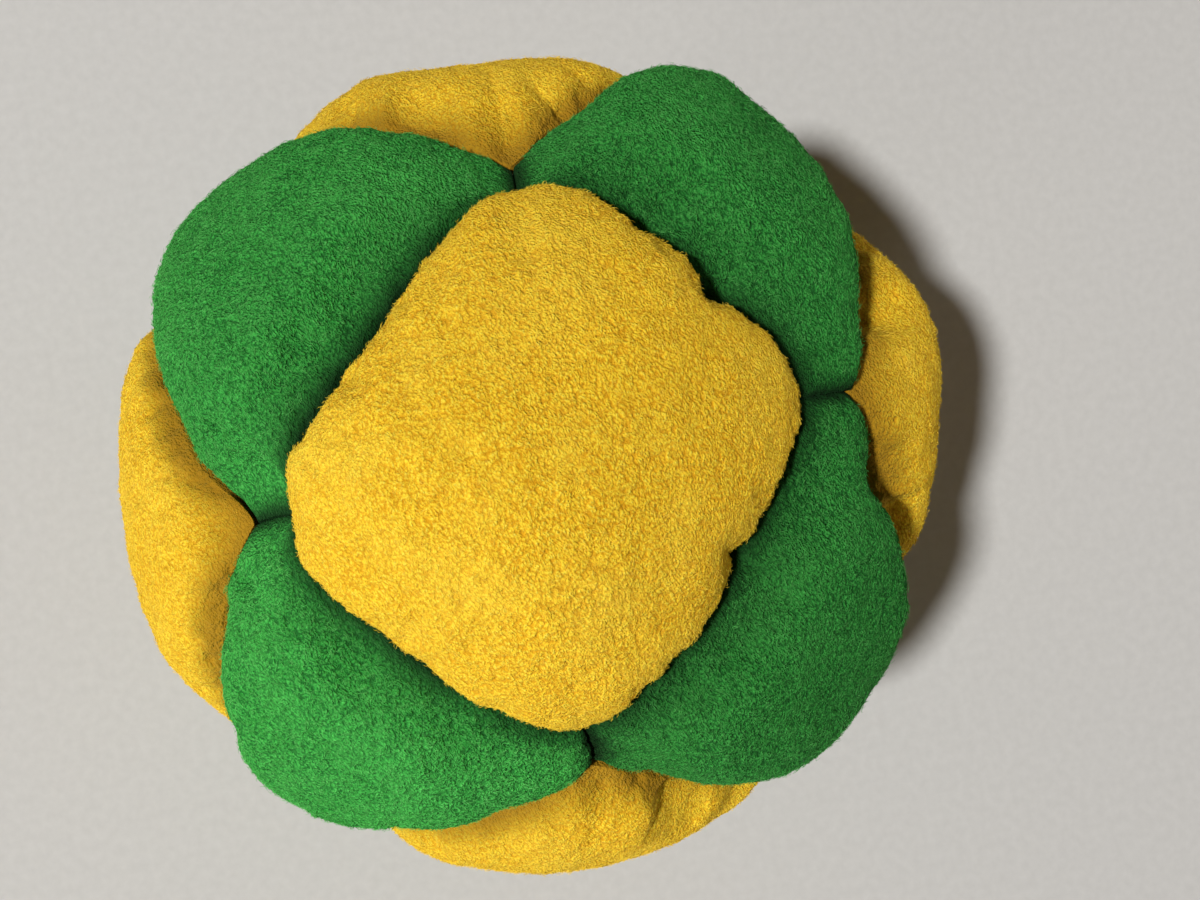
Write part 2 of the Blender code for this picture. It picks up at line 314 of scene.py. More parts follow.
def ring_points(name, row, shares):
    """One ring of a panel's cloth, at these shares of the way round, before the bag settles."""
    across, radius, out_across, out_radius, inset = (row[key] for key in ROW_KEYS)
    middle = np.array(panels[name][0])
    table = outlines[name]
    width = CORNER_ROUNDING * math.sqrt(max(0, 1 - across**ROUNDING_POWER))
    directions = unit(sampled(rounded(table, width), shares))
    angle = np.arccos((directions @ middle).clip(-1, 1))
    nearest = np.arccos((table @ middle).max())
    turn = angle * across - inset * out_across / radius
    points = np.sin(angle - turn)[:, None] * middle + np.sin(turn)[:, None] * directions
    points /= np.sin(angle)[:, None]
    return points * (radius - inset * out_radius) + middle * SEAM_GAP / 2 / math.sin(nearest)


def zipped(inner_start, inner_count, outer_start, outer_count):
    """Triangles between two rings, each given by its first point and its number of points."""
    inner = np.arange(inner_count)
    outer = np.arange(outer_count)
    beside_inner = -((inner_count - (2 * inner + 1) * outer_count) // (2 * inner_count))
    beside_outer = ((2 * outer + 1) * inner_count + outer_count) // (2 * outer_count)
    next_inner, next_outer = (inner + 1) % inner_count, (outer + 1) % outer_count
    first = np.stack([inner, beside_inner % outer_count, next_inner], axis=1)
    second = np.stack([outer, next_outer, beside_outer % inner_count], axis=1)
    first += np.array((inner_start, outer_start, inner_start))
    second += np.array((outer_start, outer_start, inner_start))
    return np.vstack([first, second])


# %% Rows of a panel
OUTER_SPACING = 0.11 * MM
WALL_SPACING = 0.45 * MM
INNER_SPACING = 0.9 * MM
FINE_PAST_CREASE = 0.3 * MM


def panel_rows(name, spacings, inset):
    """The rows of one face of the cloth, with how many points each has. spacings holds pairs of the
    way down the section up to which one holds, and the spacing. The crown row has one point."""
    across, radius, way = section_line(name)
    stops = [0.0]
    for limit, spacing in spacings:
        limit = min(limit, way[-1])
        count = max(1, round((limit - stops[-1]) / spacing))
        stops += list(np.linspace(stops[-1], limit, count + 1)[1:])
    out = -np.gradient(radius, way), np.gradient(across * mean_angle(name) * radius, way)
    rows = []
    for stop in stops:
        values = [np.interp(stop, way, line) for line in (across, radius, *out)]
        row = dict(zip(ROW_KEYS, values + [0.0]), way=stop)
        spacing = next((spacing for limit, spacing in spacings if stop < limit), spacings[-1][1])
        ring = ring_points(name, row, np.arange(360) / 360)
        length = np.linalg.norm(ring - np.roll(ring, 1, axis=0), axis=1).sum()
        around = max(6, round(length / spacing)) if stop else 1
        rows.append(dict(row, inset=inset, around=around))
    return rows


def closed_rows(name):
    """Rows over the outer face, round the raw edge and back under the inner face."""
    end = section_line(name)[2][-1]
    spacings = ((crease_way(name) + FINE_PAST_CREASE, OUTER_SPACING), (end, WALL_SPACING))
    return panel_rows(name, spacings, 0.0) + panel_rows(name, ((end, INNER_SPACING),), CLOTH)[::-1]


def fan(middle, start, count):
    """Triangles between a single point and the ring round it."""
    ring = np.arange(count)
    return np.stack([np.full(count, middle), start + ring, start + (ring + 1) % count], axis=1)


def per_point(rows, key):
    """A value of the rows, once for each of their points."""
    return np.concatenate([np.full(row["around"], row[key]) for row in rows])


def shares_round(rows):
    """How far each point lies round its row, from 0 to 1."""
    return np.concatenate([np.arange(row["around"]) / row["around"] for row in rows])


def joined_faces(rows):
    """Triangles that join each row to the next."""
    counts = [row["around"] for row in rows]
    starts = np.concatenate([[0], np.cumsum(counts)])
    faces = []
    for start, count, next_start, next_count in zip(starts, counts, starts[1:], counts[1:]):
        if count == 1:
            faces.append(fan(start, next_start, next_count))
        elif next_count == 1:
            faces.append(fan(next_start, start, count)[:, [1, 0, 2]])
        else:
            faces.append(zipped(start, count, next_start, next_count))
    return np.vstack(faces)


patterns = {}
for kind in ("square_panel_top", "hexagon_panel_upper_front_left"):
    rows = closed_rows(kind)
    patterns[is_square(kind)] = (rows, joined_faces(rows))
    print(kind, "has", len(rows), "rows and", len(patterns[is_square(kind)][1]), "triangles")


# %% Build a mesh from arrays
def listed(values, kind=np.float32):
    """Values in one long row, as Blender takes them."""
    return values.astype(kind).ravel()


def array_mesh(name, points, faces, corner_maps=None):
    """A smooth mesh from arrays of points, triangles and their corners' places on a map."""
    data = bpy.data.meshes.new(name)
    data.vertices.add(len(points))
    data.vertices.foreach_set("co", listed(points))
    data.loops.add(3 * len(faces))
    data.loops.foreach_set("vertex_index", listed(faces, np.int32))
    data.polygons.add(len(faces))
    data.polygons.foreach_set("loop_start", np.arange(0, 3 * len(faces), 3, dtype=np.int32))
    data.update(calc_edges=True)
    data.shade_smooth()
    if corner_maps is not None:
        layer = data.uv_layers.new(name="OFBake")
        layer.uv.foreach_set("vector", listed(corner_maps))
    return new_object(name, data)


def vectors(items, key="co"):
    """A vector of each item of a mesh, as an array with three columns."""
    values = np.zeros(3 * len(items), np.float32)
    items.foreach_get(key, values)
    return values.reshape(-1, 3).astype(float)


def vertex_normals(piece):
    return vectors(piece.data.vertex_normals, "vector")


def set_values(piece, name, values):
    """Stores a number for each point of a piece, for its material to read."""
    layer = piece.data.attributes.new(name, "FLOAT", "POINT")
    layer.data.foreach_set("value", listed(values))


def panel_points(name, rows):
    return np.vstack([ring_points(name, row, shares_round([row])) for row in rows])


# %% [markdown]
# ## Filling the panels
#
# A real panel gets its shape from the sand that pushes from inside, so cloth simulation does the
# same. All fourteen caps are simulated at once as one coarse mesh, with pinned seams and pressure
# from inside. The cloth is let out by three per cent, because a sewn panel is a little larger
# than its place. Blender's cloth is tuned for things of about a metre, so the copy is twenty
# times larger. Only its movement is kept, and added to the fine mesh.

# %% Cloth simulation
SIM_SPACING = 0.8 * MM
SIM_SCALE = 20
SIM_FRAMES = 22
SIM_CLOTH = {
    "vertex_group_mass": "seams", "quality": 6, "mass": 0.3, "tension_stiffness": 12,
    "compression_stiffness": 12, "shear_stiffness": 4, "bending_stiffness": 9, "use_pressure": True,
    "uniform_pressure_force": 3.0, "shrink_min": -0.03,
}


def fullness(name):
    """How full a panel's cloth is before it is filled: the squares at the sides are slackest."""
    if name.endswith(("top", "bottom")):
        return 0.74
    return 0.60 if is_square(name) else 0.62


def fill_panels():
    """Inflates all the panels at once, and returns each panel's rows with their movement."""
    parts, starts, faces, pins = [], [], [], []
    all_rows = {name: panel_rows(name, ((crease_way(name), SIM_SPACING),), 0.0) for name in panels}
    total = 0
    for name, rows in all_rows.items():
        points = panel_points(name, rows)
        radius = np.linalg.norm(points, axis=1, keepdims=True)
        starts.append(points * (1 - (1 - fullness(name)) * (1 - CREASE_RADIUS / radius).clip(0, 1)))
        faces.append(joined_faces(rows) + total)
        parts.append(points)
        total += len(points)
        pins += range(total - rows[-1]["around"], total)
    helper = array_mesh("filling_helper", np.vstack(starts) * SIM_SCALE, np.vstack(faces))
    group = helper.vertex_groups.new(name="seams")
    group.add(pins, 1.0, "REPLACE")
    cloth = helper.modifiers.new("cloth", "CLOTH").settings
    for key, value in SIM_CLOTH.items():
        setattr(cloth, key, value)
    cloth.effector_weights.gravity = 0
    scene = bpy.context.scene
    scene.frame_start, scene.frame_end = 1, SIM_FRAMES
    for step in range(1, SIM_FRAMES + 1):
        scene.frame_set(step)
    evaluated = helper.evaluated_get(bpy.context.evaluated_depsgraph_get())
    moved = vectors(evaluated.data.vertices) / SIM_SCALE - np.vstack(parts)
    scene.frame_set(1)
    bpy.data.objects.remove(helper)
    print("the sand moves the cloth by up to", round(np.linalg.norm(moved, axis=1).max() / MM, 1), "mm")
    own = np.split(moved, np.cumsum([len(points) for points in parts])[:-1])
    return dict(zip(panels, zip(all_rows.values(), own)))


def movement_at(filled, row):
    """The movement of one panel at one row of the fine mesh, read between the coarse rows."""
    way, shares = row["way"], shares_round([row])
    rows, moved = filled
    ways = [row["way"] for row in rows]
    above = min(max(int(np.searchsorted(ways, way)), 1), len(rows) - 1)
    part = (min(way, ways[-1]) - ways[above - 1]) / (ways[above] - ways[above - 1])
    tables = np.split(moved, np.cumsum([row["around"] for row in rows])[:-1])
    return sampled(tables[above - 1], shares) * (1 - part) + sampled(tables[above], shares) * part


filled = fill_panels()

# %% [markdown]
# ## Squares that overhang
#
# The squares are fuller than the hexagons, so they swell out over them and their corners go
# blunt. Above the stitches each square gets a wider, rounder outline, the hexagons stay outside
# it, and every panel stays on its own side of its seams. All of this is done with angles from a
# panel's middle, so no piece cuts through another.

# %% Keep the panels apart
TOUCH_GAP = 0.10 * MM
SWELL = 0.11 * MM  # by which a hexagon closes its half of the gap to the next one
OVERHANG = 0.05  # how much wider a square gets, as a share
OVERHANG_ROUNDING = 2.0 * MM
TOP_ROUNDING = 3.2 * MM  # the top one has been kicked flat and blunt
OVERHANG_HEIGHT = 2.4 * MM


def smooth_step(values):
    values = values.clip(0, 1)
    return values * values * (3 - 2 * values)


class Fence:
    """The limits of one panel, as angles from its middle."""

    def __init__(self, name):
        self.middle = np.array(panels[name][0])
        self.first = unit(np.cross(self.middle, (0.3, 0.5, 0.8)))
        self.second = np.cross(self.middle, self.first)
        table = outlines[name]
        self.seam = self.angles(table)
        rounding = TOP_ROUNDING if name.endswith("top") else OVERHANG_ROUNDING
        self.full = self.angles(rounded(table, rounding)) * (1 + OVERHANG) if is_square(name) else self.seam

    def angles(self, table):
        """A ring's angle from the middle, at even turns."""
        turn = np.arctan2(table @ self.second, table @ self.first)
        angle = np.arccos((table @ self.middle).clip(-1, 1))
        order = np.argsort(turn)
        even = np.linspace(-math.pi, math.pi, OUTLINE_POINTS, endpoint=False)
        return np.interp(even, turn[order], angle[order], period=2 * math.pi)

    def limits(self, turn, radius):
        """The angles of the seam and of the panel's limit."""
        place = (turn / (2 * math.pi) + 0.5) * OUTLINE_POINTS
        spots = np.arange(OUTLINE_POINTS)
        seam, full = (np.interp(place, spots, at, period=OUTLINE_POINTS) for at in (self.seam, self.full))
        return seam, seam + (full - seam) * smooth_step((radius - CREASE_RADIUS) / OVERHANG_HEIGHT)

    def polar(self, points):
        radius = np.linalg.norm(points, axis=1)
        directions = points / radius[:, None]
        turn = np.arctan2(directions @ self.second, directions @ self.first)
        return np.arccos((directions @ self.middle).clip(-1, 1)), turn, radius

    def placed(self, angle, turn, radius):
        sideways = np.cos(turn)[:, None] * self.first + np.sin(turn)[:, None] * self.second
        return (np.cos(angle)[:, None] * self.middle + np.sin(angle)[:, None] * sideways) * radius[:, None]


fences = {name: Fence(name) for name in panels}


def kept_apart(name, points):
    """A panel's points, swollen over the seam and kept out of its neighbours."""
    fence = fences[name]
    angle, turn, radius = fence.polar(points)
    seam, limit = fence.limits(turn, radius)
    angle = angle * (1 + (limit / seam - 1) * (angle / seam).clip(0, 1) ** 2)
    points = fence.placed(np.minimum(angle, limit - TOUCH_GAP / 2 / radius), turn, radius)
    if is_square(name):
        return points
    angle, turn, radius = fence.polar(points)
    swell = SWELL / radius * smooth_step((radius - CREASE_RADIUS + STITCH_DEPTH) / STITCH_DEPTH)
    points = fence.placed(angle * (1 + swell / angle.max()), turn, radius)
    for other, neighbour in fences.items():
        if is_square(other) and neighbour.middle @ fence.middle > 0.2:
            angle, turn, radius = neighbour.polar(points)
            limit = neighbour.limits(turn, radius)[1] + TOUCH_GAP / 2 / radius
            points = neighbour.placed(np.maximum(angle, limit), turn, radius)
    return points


# %% [markdown]
# ## Kneaded by hand
#
# The sand's weight spreads the bag sideways, most at the middle of its height. And a bag that is
# squeezed and kicked is never even: a few soft pushes, given in steps of half a millimetre,
# move the cloth. They fade out towards the stitch line, so the threads stay where they are.

# %% Pushes
SPREAD = 0.085  # wider by this share at half its height
# angle from the top, angle round the picture and width in degrees, then right and up in millimetres
PUSHES = (
    # the top square's outline
    (38, 60, 20, 0.5, 0.5), (38, 300, 20, 0.5, -0.5), (38, 95, 14, 0.0, 0.5), (38, 225, 14, 0.5, 0.5),
    (38, 145, 14, 0.5, -0.5), (38, 182, 10, -0.5, 0.0), (38, 5, 14, -0.5, 0.0),
    # the seams between the side squares and the upper hexagons
    (60, 20, 14, 2.5, 0.0), (60, 72, 14, 0.0, 2.5), (60, 118, 14, -0.5, 2.0), (64, 160, 14, -1.5, 0.0),
    (60, 212, 14, -1.5, -0.5), (60, 262, 14, 0.5, -1.0), (60, 305, 14, 0.0, -1.0), (60, 345, 14, 1.0, 0.0),
    # the tips of the side squares
    (48, 96, 6, 1.0, -3.0), (47, 190, 6, 4.0, 2.0), (48, 280, 6, 2.0, 1.5),
    # bulges at the sides
    (74, 30, 12, 1.5, -0.5), (84, 118, 14, -1.0, 0.5), (84, 165, 12, -0.5, 0.5),
    (84, 325, 12, -1.0, 0.5), (88, 5, 14, -0.5, 0.0),
)
PUSH_DEPTHS = (21.5 * MM, 25.0 * MM)


def place_round_picture(polar, turn):
    """A direction given by its angle from the top and its angle round the picture."""
    upright = np.array((0, 0, math.cos(math.radians(polar))))
    return picture_way(turn) * math.sin(math.radians(polar)) + upright


def reached(points):
    """The directions of points of the round bag, and how far each gives way to a push."""
    radius = np.linalg.norm(points, axis=1, keepdims=True)
    return points / radius, smooth_step((radius - PUSH_DEPTHS[0]) / (PUSH_DEPTHS[1] - PUSH_DEPTHS[0]))


def kneaded(points):
    """Points of the round bag, spread by the sand's weight and pushed."""
    directions, full = reached(points)
    moved = points + points * (1, 1, 0) * full * SPREAD * (1 - directions[:, 2:] ** 2)
    for polar, turn, width, right, up in PUSHES:
        place = place_round_picture(polar, turn)
        push = np.array(picture_right * right + picture_up * up) * MM
        moved += np.exp((directions @ place - 1) / math.radians(width) ** 2)[:, None] * full * push
    return moved


# %% [markdown]
# ## Folds
#
# Here and there a fold runs from a seam into the panel. The folds are placed one by one, where the
# real bag has them, and pressed into the round bag as soft grooves.

# %% Folds
# angle from the top, angle round the picture and heading in degrees, then the length, width and
# depth in millimetres
FOLDS = (
    (35.5, 43.4, 40, 1.8, 0.8, 1.8), (38.6, 66, 55, 2.2, 1.0, 1.3), (37.5, 73, 80, 1.0, 0.5, 0.6),
    (31.0, 334, -28, 2.2, 0.9, 1.7), (36.5, 111, 80, 2.2, 0.7, 1.0), (64, 22.8, 20, 2.4, 1.5, 1.7),
    (56, 357.5, 10, 2.2, 1.4, 1.6), (64, 295.5, 64, 2.8, 0.55, 1.3), (57, 289, 80, 2.4, 0.8, 0.7),
    (63, 88, -70, 2.2, 0.8, 0.9), (50, 174, 200, 1.6, 0.6, 0.9), (45, 181, 205, 1.4, 0.6, 0.8),
    (51, 202, 185, 1.8, 0.7, 0.9), (57, 206, 170, 1.4, 0.6, 0.7),
)


def folded(points):
    """Points of the round bag, pressed in along the folds."""
    directions, full = reached(points)
    depth = np.zeros(len(points))
    for polar, turn, heading, length, width, deep in FOLDS:
        place = place_round_picture(polar, turn)
        along = picture_way(heading)
        along = unit(along - place * (along @ place))
        across = np.cross(place, along)
        near = directions @ place > 0.8
        lengthways = directions[near] @ along * CROWN_RADIUS / (length * MM)
        sideways = directions[near] @ across * CROWN_RADIUS / (width * MM)
        depth[near] += deep * MM * np.exp(-lengthways**2) * np.exp(0.3 - np.sqrt(sideways**2 + 0.09))
    return points - directions * full * depth[:, None]


# %% [markdown]
# ## A surface that has been handled
#
# Brushed cloth is uneven at several sizes at once: sand moves under it in lumps of a few
# millimetres, and the nap gathers in tufts of under half a millimetre. Both come from smooth
# noise: random numbers on a grid, blended between the grid's points.

# %% Noise
NOISE_TABLE = 64
noise_numbers = np.random.default_rng(7).random((NOISE_TABLE,) * 3)


def smooth_noise(points, size, shift=0.0):
    """Numbers from -1 to 1 that vary smoothly over this size."""
    place = points / size + shift
    cell = np.floor(place).astype(int)
    part = place - cell
    part = part**3 * (part * (part * 6 - 15) + 10)
    total = np.zeros(len(points))
    for corner in itertools.product((0, 1), repeat=3):
        at = (cell + corner) % NOISE_TABLE
        weight = np.prod(np.where(corner, part, 1 - part), axis=1)
        total += weight * noise_numbers[at[:, 0], at[:, 1], at[:, 2]]
    return 2 * total - 1


heap_places = np.random.default_rng(8).random((NOISE_TABLE,) * 3 + (3,))


def heaps(points, size):
    """Small heaps side by side: 1 on top of one, down to about 0 in the gaps between them."""
    place = points / size
    cell = np.floor(place).astype(int)
    nearest = np.ones(len(points))
    for step in itertools.product((-1, 0, 1), repeat=3):
        at = cell + step
        index = at % NOISE_TABLE
        centre = at + heap_places[index[:, 0], index[:, 1], index[:, 2]]
        nearest = np.minimum(nearest, ((place - centre) ** 2).sum(axis=1))
    return 1 - nearest


# %% [markdown]
# ## Puckers, lobes and hollows
#
# The edges were gathered a little in sewing, which leaves small puckers along the seams. Smooth
# noise along the seam places them, the same for both panels that meet there. A used bag is
# slack: its panels have sunk by their own shares. A hexagon stays full near its short seams and
# slopes off towards the top square, and a side square sinks at its tips, so that dark pits open
# where the corners meet.

# %% Puckers, lobes and hollows
PUCKER = 5.0 * MM
PUCKER_DEPTH = 0.9 * MM
PUCKER_PULL = 0.05
UPPER_PUCKERS = 0.3  # where folds are placed one by one instead
DRAWN_SHARES = {True: 0.06, False: 0.65}  # squares, hexagons: of the height, beside a seam
# the share of its height over the seams that a panel keeps, and its painted light: a factor on
# its colour, above 1 for panels that face the lamps and below 1 for those turned away
WEAR_AND_PAINTED_LIGHT = {
    "square_panel_left": (0.5, 1), "square_panel_back": (0.45, 1),
    "square_panel_right": (0.6, 1), "square_panel_front": (0.6, 1),
    "hexagon_panel_upper_back_right": (0.85, 0.88), "hexagon_panel_upper_back_left": (0.75, 1.06),
    "hexagon_panel_upper_front_right": (0.85, 0.78), "hexagon_panel_upper_front_left": (0.8, 1.25),
}
UNWORN_UNPAINTED = (1, 1)
LOBE_REACH = 3.5 * MM  # so far from a short seam a hexagon stays full
TIP_SHARE = 0.6  # of its height that a side square loses at its tips
TIP_WIDTH = 2.3 * MM
# the pits are painted dark this far from a short seam
PIT_WIDTH = 0.9 * MM  # how far from a short seam it is dark
END_VALLEY_SHARE = 0.35  # of its height that a hexagon loses beside the top or bottom square
END_HOLLOW = 4.5 * MM  # from the edge of the top or bottom square
# where the painted shade along a side square's seams begins
SIDE_HOLLOW = 0.84  # as a share of the way from a side square's middle to its seam


def end_nearness(name, points):
    """How near each point of a hexagon lies to the top or bottom square's edge: 1 on it."""
    end = fences["square_panel_top" if "upper" in name else "square_panel_bottom"]
    angle, turn, radius = end.polar(points)
    return smooth_step(1 - (angle - end.limits(turn, radius)[1]) * radius / END_HOLLOW)


def short_seam_distance(name, points):
    """How far each point lies from the nearest short seam or, on a square, from a corner."""
    corners = [np.array(corner) * CREASE_RADIUS for corner in panels[name][1]]
    sides = zip(corners, corners if is_square(name) else corners[1:] + corners[:1])
    places = unit(points) * CREASE_RADIUS
    nearest = np.full(len(points), CREASE_RADIUS)
    for start, end in sides:
        along = end - start
        if np.linalg.norm(along) < 2 * SHORT_SEAM:
            share = ((places - start) @ along / max(along @ along, MM**2)).clip(0, 1)
            nearest = np.minimum(nearest, np.linalg.norm(places - start - np.outer(share, along), axis=1))
    return nearest


def puckered(name, rows, points):
    """Points drawn in from the seams by puckers."""
    fence = fences[name]
    angle, turn, radius = fence.polar(points)
    across = per_point(rows, "across")
    seam = sampled(outlines[name], shares_round(rows)) * CREASE_RADIUS
    pull = (1.8 * smooth_noise(seam, PUCKER, 12.7) - 0.6).clip(0, 1)
    pull = pull + 0.14 * smooth_noise(seam, PUCKER / 2.2, 6.1)
    pull = pull * smooth_step((across - 0.55) / 0.4) * smooth_step((radius - CREASE_RADIUS) / (1.2 * MM))
    pull = pull * (UPPER_PUCKERS if name.endswith("top") or "upper" in name else 1)
    height = (radius + per_point(rows, "inset") - CREASE_RADIUS).clip(0)
    kept = WEAR_AND_PAINTED_LIGHT.get(name, UNWORN_UNPAINTED)[0]
    away = short_seam_distance(name, points)
    drawn_share = DRAWN_SHARES[is_square(name)] * smooth_step((across - 0.5) / 0.45)
    if is_square(name):
        tips = 0 if name.endswith("top") else TIP_SHARE * np.exp(-((away / TIP_WIDTH) ** 2))
        kept = kept * (1 - drawn_share) * (1 - tips)
    else:
        kept = kept * (1 - drawn_share * (1 - np.exp(-((away / LOBE_REACH) ** 2))))
        kept = kept * (1 - END_VALLEY_SHARE * end_nearness(name, points))
    drawn = height * (1 - kept)
    return fence.placed(angle * (1 - PUCKER_PULL * pull), turn, radius - PUCKER_DEPTH * pull - drawn)


def painted_hollow_shade(name, rows, points):
    """How much painted shade each point gets where the hollows lie in shade: beside the end squares, in pits,
    and along seams.
    """
    if name.endswith(("top", "bottom")):
        return np.zeros(len(points))
    if is_square(name):
        return smooth_step((per_point(rows, "across") - SIDE_HOLLOW) / (1 - SIDE_HOLLOW))
    pits = np.exp(-((short_seam_distance(name, points) / PIT_WIDTH) ** 2))
    return np.maximum(end_nearness(name, points) ** 2, pits)


# %% [markdown]
# ## Lumps and tufts
#
# The outer face moves along its normals by the noise, so that light and outline both show it.
# Tufts are small heaps, bent by the swirls of the nap and drawn out the way it lies. Those finer
# than the mesh are left to the material.

# %% Lumps and tufts
LUMPS = ((7.0 * MM, 0.25 * MM), (2.2 * MM, 0.11 * MM), (0.9 * MM, 0.07 * MM))  # size and height
TUFT = 0.36 * MM
TUFT_HEIGHTS = {True: 0.16 * MM, False: 0.24 * MM}  # squares, hexagons
TUFT_STRETCH = 0.75
WANDER = 1.1 * MM
WANDER_REACH = 0.3 * MM
NAP_HEADING = -50  # degrees round the picture


def napped(points, normals, amount, tall_tufts):
    """Points moved along their normals by lumps and tufts, and how high each lies in its tuft."""
    lumps = sum(smooth_noise(points, size, 3.7 * number) * tall for number, (size, tall) in enumerate(LUMPS))
    wander = np.stack([smooth_noise(points, WANDER, shift) for shift in (0.0, 7.7, 15.4)], axis=1)
    drawn = points + wander * WANDER_REACH
    nap_way = picture_way(NAP_HEADING)
    drawn = drawn - np.outer(drawn @ nap_way, nap_way) * (1 - TUFT_STRETCH)
    tufts = 0.65 * heaps(drawn, TUFT) + 0.35 * heaps(drawn, TUFT * 0.55)
    moved = points + normals * ((lumps + (tufts - 0.75) * tall_tufts) * amount)[:, None]
    moved[:, 2] = moved[:, 2].clip(0)
    return moved, tufts


# %% [markdown]
# ## The finished panels
#
# Each panel becomes one closed piece of cloth, with a map that a baked finish can use. Its points
# hold three numbers for the material: how high they lie in their tuft, how much painted shade
# lies in their hollow, and the panel's painted light level, lighter towards the lamps.

# %% Build the panels
MAP_CENTRES = ((0.41, 0.41), (0.90, 0.90))
MAP_RADII = (0.40, 0.09)


def disc_maps(rows, faces):
    """The triangles' places on the map: a large disc for the outer face, a small one for the inner."""
    ways = per_point(rows, "way") / max(row["way"] for row in rows)
    turns = shares_round(rows) * 2 * math.pi
    inner = per_point(rows, "inset") > 0
    side = inner[faces].all(axis=1).astype(int)
    edge = inner[faces].any(axis=1) & ~inner[faces].all(axis=1)
    centre, radius = np.array(MAP_CENTRES)[side], np.array(MAP_RADII)[side]
    reach = ways[faces] * radius[:, None]
    reach = np.where(inner[faces] & edge[:, None], reach * 1.02, reach)
    return centre[:, None] + np.stack([np.cos(turns[faces]), np.sin(turns[faces])], axis=2) * reach[..., None]


def panel_shape(name, rows):
    """Where the points of a panel's rows lie on the finished bag."""
    points = panel_points(name, rows)
    if filled:
        points = points + np.vstack([movement_at(filled[name], row) for row in rows])
    outer = per_point(rows, "inset") == 0
    points = puckered(name, rows, points)
    points[outer] = kept_apart(name, points[outer])
    return settled(folded(kneaded(points))), outer, painted_hollow_shade(name, rows, points)


cloths = {}
for name in panels:
    rows, faces = patterns[is_square(name)]
    points, outer, hollow_shade = panel_shape(name, rows)
    piece = array_mesh("cloth_" + name, points, faces, disc_maps(rows, faces))
    radius = np.linalg.norm((points - np.array(BAG_MIDDLE)) / (1, 1, SETTLED_SHARE), axis=1)
    shown = ((radius - CREASE_RADIUS + 0.5 * MM) / MM).clip(0, 1) * outer
    points, tufts = napped(points, vertex_normals(piece), shown, TUFT_HEIGHTS[is_square(name)])
    piece.data.vertices.foreach_set("co", listed(points))
    set_values(piece, "tuft_height", tufts)
    # how much painted shade each point's hollow gets, for the material
    set_values(piece, "painted_hollow_shade", hollow_shade)
    # the panel's painted light level, for the material
    set_values(piece, "painted_panel_light", np.full(len(points), WEAR_AND_PAINTED_LIGHT.get(name, UNWORN_UNPAINTED)[1]))
    piece.data.update()
    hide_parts(name)
    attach(piece, "root")
    # fewer fibres grow where the hollows are painted in shade
    cloths[name] = (piece, points, faces, shown * (1 - 0.9 * hollow_shade))
print(len(cloths), "panels built")

# %% [markdown]
# ## The nap
#
# Brushing pulls fibres out of the cloth's face. They lie over each other in small swirls, most of
# them nearly flat, and a few stand up and catch the light. Blender's hair would draw them, but
# isn't part of the mesh when the model is handed on. So each is a thin bent spike of ten
# triangles, and those of a panel are one piece. Real ones are about 0.01 mm thick and cling
# together, so they are drawn as bundles of 0.03 mm.

# %% Fibres
FIBRES_PER_MM2 = 20
FIBRE_LENGTHS = {True: (0.22 * MM, 0.50 * MM), False: (0.28 * MM, 0.62 * MM)}  # on squares, on hexagons
FIBRE_THICKNESS = 0.016 * MM
ROOT_DEPTH = 0.03 * MM
SWIRL = 2.4 * MM
FLAT_ENOUGH = 0.25 * MM
CURLS = {True: 0.25, False: 0.4}  # sideways, as a share of the length
STRAY_TURN = 0.55  # radians
FIBRE_SIDES = [(0, 1, 3), (1, 4, 3), (1, 2, 4), (2, 5, 4), (2, 0, 5), (0, 3, 5)]
FIBRE_FACES = np.array(FIBRE_SIDES + [(3, 4, 6), (4, 5, 6), (5, 3, 6), (0, 2, 1)])


def cell_maps(count):
    """A place of its own on the map for each of so many triangles."""
    columns = math.ceil(math.sqrt(count))
    cell = np.stack([np.arange(count) % columns, np.arange(count) // columns], axis=1)[:, None]
    return (cell + np.array(((0.1, 0.1), (0.9, 0.1), (0.5, 0.9)))) / columns


